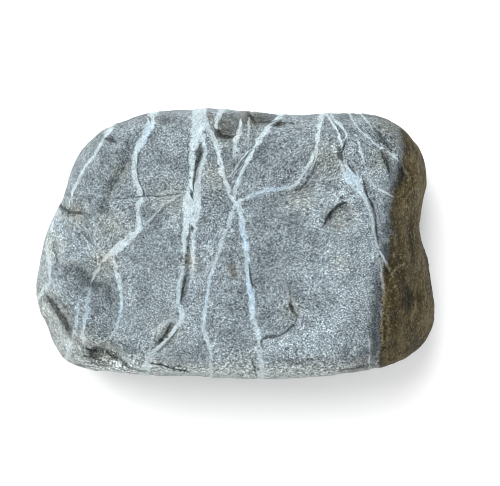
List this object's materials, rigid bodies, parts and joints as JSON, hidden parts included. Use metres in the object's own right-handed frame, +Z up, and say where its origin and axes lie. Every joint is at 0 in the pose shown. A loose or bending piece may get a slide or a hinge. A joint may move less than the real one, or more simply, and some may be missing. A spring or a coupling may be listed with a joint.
{
  "type": "wishing stone",
  "caption": "Palm-sized flat grey pebble crossed by white mineral veins, with worn edges, chips and clefts, lying on its flat back.",
  "frame": {"origin": "on the surface the stone rests on, under the middle of its box", "axes": "+X along the stone's length, towards its dark worn end; +Y across it, towards the end of the veins with the ledge; +Z up, out of the veined face"},
  "size_m": [0.09, 0.0606, 0.0345],
  "materials": {
    "veined_stone": "matt, fine sandy grain, bluish grey with white veins"
  },
  "bodies": {
    "root": {"stone": "veined_stone"}
  },
  "joints": []
}
